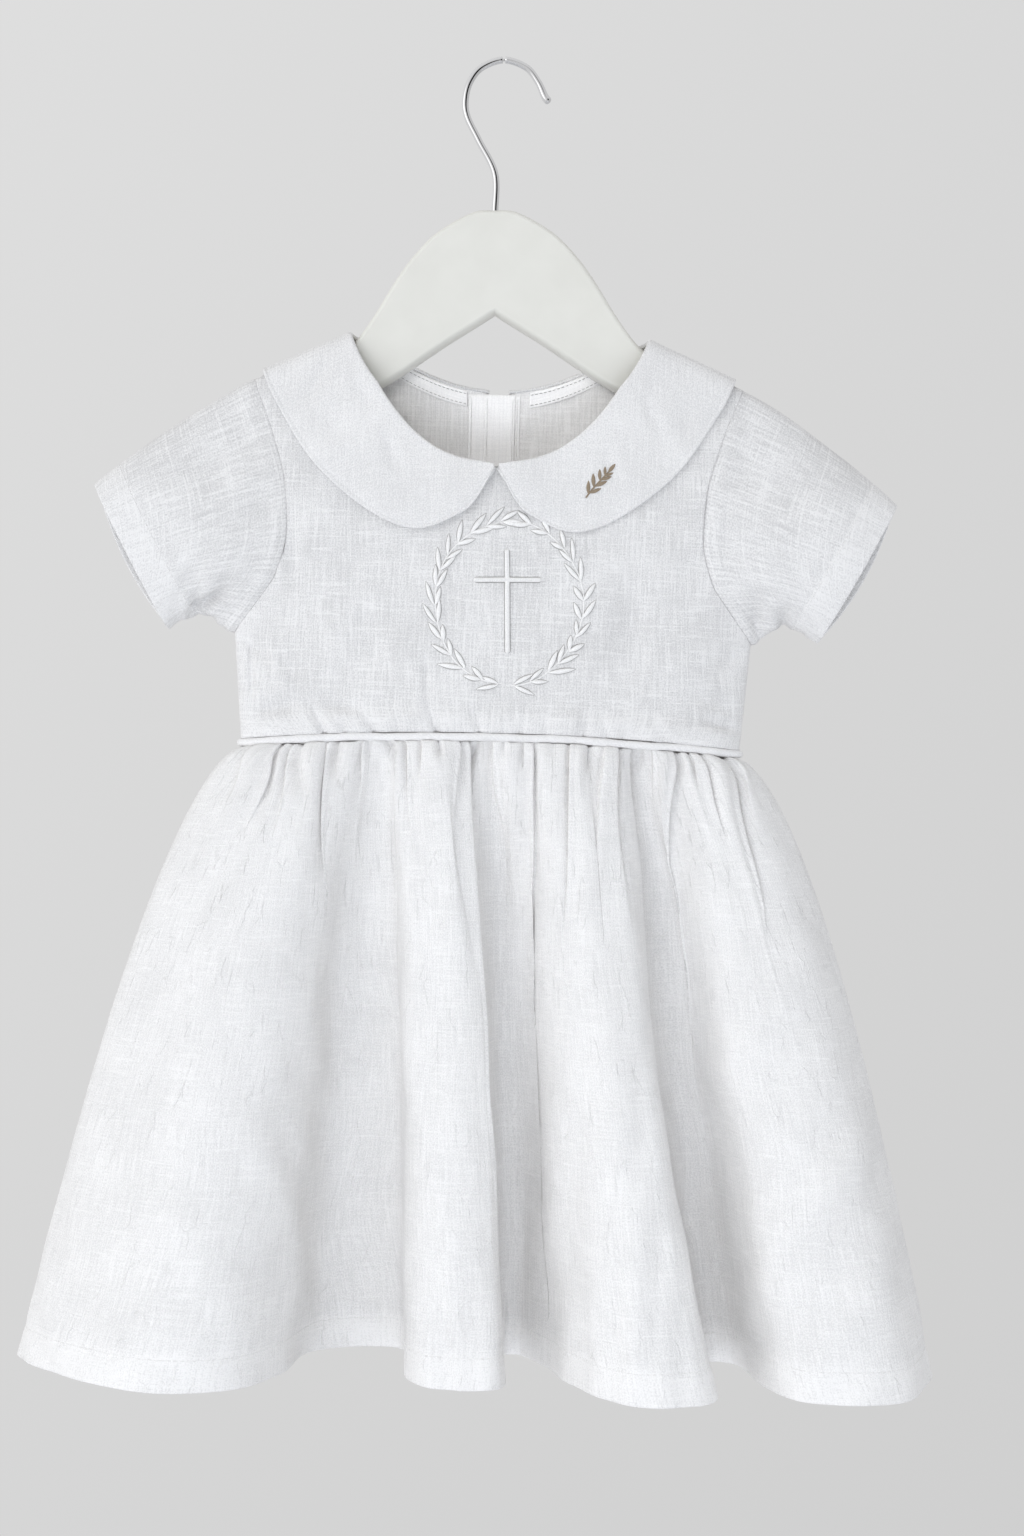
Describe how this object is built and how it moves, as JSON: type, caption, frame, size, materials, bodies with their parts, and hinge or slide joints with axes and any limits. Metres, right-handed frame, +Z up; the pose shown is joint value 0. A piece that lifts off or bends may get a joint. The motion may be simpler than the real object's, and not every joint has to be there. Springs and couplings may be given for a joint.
{
  "type": "christening gown on a clothes hanger",
  "caption": "Infant's short-sleeved white linen gown with a round collar and a gathered skirt, hanging on a flat wooden clothes hanger with a wire hook.",
  "frame": {"origin": "inside top of the hook, where a rail carries it, above the hook's stem", "axes": "+Z up, -Y the gown's front, +X the viewer's right"},
  "size_m": [0.4528, 0.163, 0.6569],
  "materials": {
    "linen": "plain weave white linen, one layer, slubbed",
    "linen_doubled": "plain weave white linen, doubled, pressed",
    "button": "white, semi-gloss",
    "painted_wood": "warm white satin lacquer",
    "chrome_wire": "polished"
  },
  "bodies": {
    "root": {"bodice_front": "linen", "bodice_back_left": "linen", "bodice_back_right": "linen", "collar_left": "linen_doubled", "collar_right": "linen_doubled", "sleeve_left": "linen", "sleeve_right": "linen", "neck_facing_left": "linen_doubled", "neck_facing_right": "linen_doubled", "button_stand_over": "linen_doubled", "button_stand_facing": "linen_doubled", "button_stand_under": "linen_doubled", "button_1": "button", "button_2": "button", "button_3": "button", "waist_piping": "linen_doubled", "skirt_front": "linen", "skirt_back": "linen", "hanger_board": "painted_wood", "hanger_hook": "chrome_wire"}
  },
  "joints": []
}
